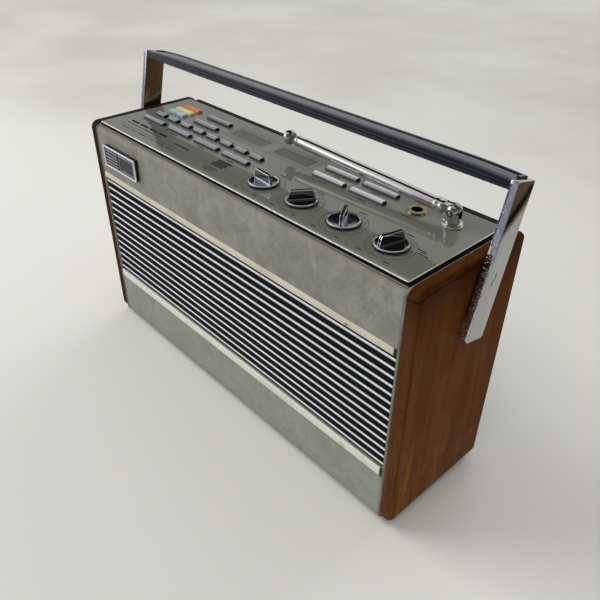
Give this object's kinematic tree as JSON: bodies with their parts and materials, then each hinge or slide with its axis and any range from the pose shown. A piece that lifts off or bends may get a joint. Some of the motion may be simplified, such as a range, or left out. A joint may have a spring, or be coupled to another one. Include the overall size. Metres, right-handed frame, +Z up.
{
  "type": "transistor portable radio",
  "caption": "Portable radio with wooden cheeks, clothed front, striped grille, keyed glossy top panel, finned knobs, folding telescopic aerial and swinging flat carry handle.",
  "frame": {"origin": "centre of the footprint on the plane the four feet stand on", "axes": "+X to the listener's right along the front, +Y from the grille to the back, +Z up"},
  "size_m": [0.312, 0.0888, 0.205],
  "materials": {
    "leathercloth": "grained vinyl cloth, satin",
    "wood": "oiled, satin",
    "piping": "satin",
    "panel": "glossy over metal",
    "gasket": "matte",
    "window": "smoked, glossy",
    "brass": "tarnished nickel over brass",
    "cream": "satin",
    "cloth": "woven, matte",
    "strip": "satin",
    "badge": "black with bright frame",
    "steel": "satin",
    "paper": "matte felted paper",
    "ferrite": "matte",
    "back": "matte black",
    "rubber": "matte",
    "board": "satin",
    "pot": "satin",
    "black_plastic": "satin",
    "chrome": "polished, lightly pitted",
    "grip": "glossy",
    "inlay": "satin",
    "knob": "black with bright cap",
    "key_grey": "metallic, satin",
    "key_orange": "satin",
    "key_yellow": "satin",
    "key_blue": "satin"
  },
  "bodies": {
    "cabinet": {"cabinet_sleeve": "leathercloth", "left_cheek": "wood", "right_cheek": "wood", "side_pipings": "piping", "control_panel": "panel", "panel_gasket": "gasket", "display_windows": "window", "headphone_socket": "brass", "trim_strips": "cream", "grille_cloth": "cloth", "grille_strips": "strip", "badge_plate": "badge", "speaker_basket": "steel", "back_screws": "steel", "speaker_cone": "paper", "speaker_magnet": "ferrite", "ferrite_aerial": "ferrite", "back_cover": "back", "rubber_feet": "rubber", "main_circuit_board": "board", "key_switch_board": "board", "rotary_controls": "pot", "battery_holder": "black_plastic", "aerial_collar": "chrome"},
    "handle": {"left_handle_arm": "chrome", "right_handle_arm": "chrome", "handle_grip": "grip", "grip_inlay": "inlay", "handle_pivots": "chrome"},
    "aerial_swivel": {"aerial_post": "chrome", "aerial_hinge_pin": "chrome"},
    "aerial_mast": {"aerial_outer_tube": "chrome"},
    "aerial_second": {"aerial_second_section": "chrome"},
    "aerial_third": {"aerial_third_section": "chrome"},
    "aerial_tip": {"aerial_tip_section": "chrome"},
    "knob_1_turns": {"knob_1": "knob"},
    "knob_2_turns": {"knob_2": "knob"},
    "knob_3_turns": {"knob_3": "knob"},
    "knob_4_turns": {"knob_4": "knob"},
    "mode_key_1_press": {"mode_key_1": "chrome"},
    "mode_key_2_press": {"mode_key_2": "chrome"},
    "mode_key_3_press": {"mode_key_3": "chrome"},
    "mode_key_4_press": {"mode_key_4": "chrome"},
    "station_key_1_press": {"station_key_1": "key_grey"},
    "station_key_2_press": {"station_key_2": "key_grey"},
    "station_key_3_press": {"station_key_3": "key_grey"},
    "station_key_4_press": {"station_key_4": "key_grey"},
    "station_key_5_press": {"station_key_5": "key_grey"},
    "station_key_6_press": {"station_key_6": "key_grey"},
    "station_key_7_press": {"station_key_7": "key_grey"},
    "station_key_8_press": {"station_key_8": "key_grey"},
    "band_key_1_press": {"band_key_1": "key_grey"},
    "band_key_2_press": {"band_key_2": "key_grey"},
    "band_key_3_press": {"band_key_3": "key_grey"},
    "band_key_4_press": {"band_key_4": "key_grey"},
    "scan_key_back_press": {"scan_key_back": "key_grey"},
    "scan_key_front_press": {"scan_key_front": "key_grey"},
    "orange_key_press": {"orange_key": "key_orange"},
    "yellow_key_press": {"yellow_key": "key_yellow"},
    "blue_key_press": {"blue_key": "key_blue"}
  },
  "joints": [
    {"name": "handle_swing", "type": "hinge", "parent": "cabinet", "child": "handle", "pos_m": [0, 0.0016, 0.1302], "axis": [1, 0, 0], "range_deg": [-75, 100]},
    {"name": "aerial_swivel_turn", "type": "hinge", "parent": "cabinet", "child": "aerial_swivel", "pos_m": [0.121, 0.0185, 0.175], "axis": [0, 0, 1], "range_deg": [-90, 8]},
    {"name": "aerial_tilt", "type": "hinge", "parent": "aerial_swivel", "child": "aerial_mast", "pos_m": [0.121, 0.0185, 0.175], "axis": [0, 1, 0], "range_deg": [0, 5.5]},
    {"name": "aerial_second_slide", "type": "slide", "parent": "aerial_mast", "child": "aerial_second", "axis": [-0.9995, 0, 0.0332], "range_m": [0, 0.083]},
    {"name": "aerial_third_slide", "type": "slide", "parent": "aerial_second", "child": "aerial_third", "axis": [-0.9995, 0, 0.0332], "range_m": [0, 0.083]},
    {"name": "aerial_tip_slide", "type": "slide", "parent": "aerial_third", "child": "aerial_tip", "axis": [-0.9995, 0, 0.0332], "range_m": [0, 0.083]},
    {"name": "knob_1_turn", "type": "hinge", "parent": "cabinet", "child": "knob_1_turns", "pos_m": [0.0175, -0.021, 0.167], "axis": [0, 0, 1], "range_deg": [-140, 140]},
    {"name": "knob_2_turn", "type": "hinge", "parent": "cabinet", "child": "knob_2_turns", "pos_m": [0.0496, -0.021, 0.167], "axis": [0, 0, 1], "range_deg": [-150, 150]},
    {"name": "knob_3_turn", "type": "hinge", "parent": "cabinet", "child": "knob_3_turns", "pos_m": [0.0817, -0.021, 0.167], "axis": [0, 0, 1], "range_deg": [-150, 150]},
    {"name": "knob_4_turn", "type": "hinge", "parent": "cabinet", "child": "knob_4_turns", "pos_m": [0.1138, -0.021, 0.167], "axis": [0, 0, 1], "range_deg": [-150, 150]},
    {"name": "mode_key_1_push", "type": "slide", "parent": "cabinet", "child": "mode_key_1_press", "axis": [0, 0, -1], "range_m": [0, 0.0012], "stiffness_N_per_m": 900, "springref_m": -0.0005},
    {"name": "mode_key_2_push", "type": "slide", "parent": "cabinet", "child": "mode_key_2_press", "axis": [0, 0, -1], "range_m": [0, 0.0012], "stiffness_N_per_m": 900, "springref_m": -0.0005},
    {"name": "mode_key_3_push", "type": "slide", "parent": "cabinet", "child": "mode_key_3_press", "axis": [0, 0, -1], "range_m": [0, 0.0012], "stiffness_N_per_m": 900, "springref_m": -0.0005},
    {"name": "mode_key_4_push", "type": "slide", "parent": "cabinet", "child": "mode_key_4_press", "axis": [0, 0, -1], "range_m": [0, 0.0012], "stiffness_N_per_m": 900, "springref_m": -0.0005},
    {"name": "station_key_1_push", "type": "slide", "parent": "cabinet", "child": "station_key_1_press", "axis": [0, 0, -1], "range_m": [0, 0.0012], "stiffness_N_per_m": 900, "springref_m": -0.0005},
    {"name": "station_key_2_push", "type": "slide", "parent": "cabinet", "child": "station_key_2_press", "axis": [0, 0, -1], "range_m": [0, 0.0012], "stiffness_N_per_m": 900, "springref_m": -0.0005},
    {"name": "station_key_3_push", "type": "slide", "parent": "cabinet", "child": "station_key_3_press", "axis": [0, 0, -1], "range_m": [0, 0.0012], "stiffness_N_per_m": 900, "springref_m": -0.0005},
    {"name": "station_key_4_push", "type": "slide", "parent": "cabinet", "child": "station_key_4_press", "axis": [0, 0, -1], "range_m": [0, 0.0012], "stiffness_N_per_m": 900, "springref_m": -0.0005},
    {"name": "station_key_5_push", "type": "slide", "parent": "cabinet", "child": "station_key_5_press", "axis": [0, 0, -1], "range_m": [0, 0.0012], "stiffness_N_per_m": 900, "springref_m": -0.0005},
    {"name": "station_key_6_push", "type": "slide", "parent": "cabinet", "child": "station_key_6_press", "axis": [0, 0, -1], "range_m": [0, 0.0012], "stiffness_N_per_m": 900, "springref_m": -0.0005},
    {"name": "station_key_7_push", "type": "slide", "parent": "cabinet", "child": "station_key_7_press", "axis": [0, 0, -1], "range_m": [0, 0.0012], "stiffness_N_per_m": 900, "springref_m": -0.0005},
    {"name": "station_key_8_push", "type": "slide", "parent": "cabinet", "child": "station_key_8_press", "axis": [0, 0, -1], "range_m": [0, 0.0012], "stiffness_N_per_m": 900, "springref_m": -0.0005},
    {"name": "band_key_1_push", "type": "slide", "parent": "cabinet", "child": "band_key_1_press", "axis": [0, 0, -1], "range_m": [0, 0.0012], "stiffness_N_per_m": 900, "springref_m": -0.0005},
    {"name": "band_key_2_push", "type": "slide", "parent": "cabinet", "child": "band_key_2_press", "axis": [0, 0, -1], "range_m": [0, 0.0012], "stiffness_N_per_m": 900, "springref_m": -0.0005},
    {"name": "band_key_3_push", "type": "slide", "parent": "cabinet", "child": "band_key_3_press", "axis": [0, 0, -1], "range_m": [0, 0.0012], "stiffness_N_per_m": 900, "springref_m": -0.0005},
    {"name": "band_key_4_push", "type": "slide", "parent": "cabinet", "child": "band_key_4_press", "axis": [0, 0, -1], "range_m": [0, 0.0012], "stiffness_N_per_m": 900, "springref_m": -0.0005},
    {"name": "scan_key_back_push", "type": "slide", "parent": "cabinet", "child": "scan_key_back_press", "axis": [0, 0, -1], "range_m": [0, 0.0012], "stiffness_N_per_m": 900, "springref_m": -0.0005},
    {"name": "scan_key_front_push", "type": "slide", "parent": "cabinet", "child": "scan_key_front_press", "axis": [0, 0, -1], "range_m": [0, 0.0012], "stiffness_N_per_m": 900, "springref_m": -0.0005},
    {"name": "orange_key_push", "type": "slide", "parent": "cabinet", "child": "orange_key_press", "axis": [0, 0, -1], "range_m": [0, 0.0012], "stiffness_N_per_m": 900, "springref_m": -0.0005},
    {"name": "yellow_key_push", "type": "slide", "parent": "cabinet", "child": "yellow_key_press", "axis": [0, 0, -1], "range_m": [0, 0.0012], "stiffness_N_per_m": 900, "springref_m": -0.0005},
    {"name": "blue_key_push", "type": "slide", "parent": "cabinet", "child": "blue_key_press", "axis": [0, 0, -1], "range_m": [0, 0.0012], "stiffness_N_per_m": 900, "springref_m": -0.0005}
  ]
}
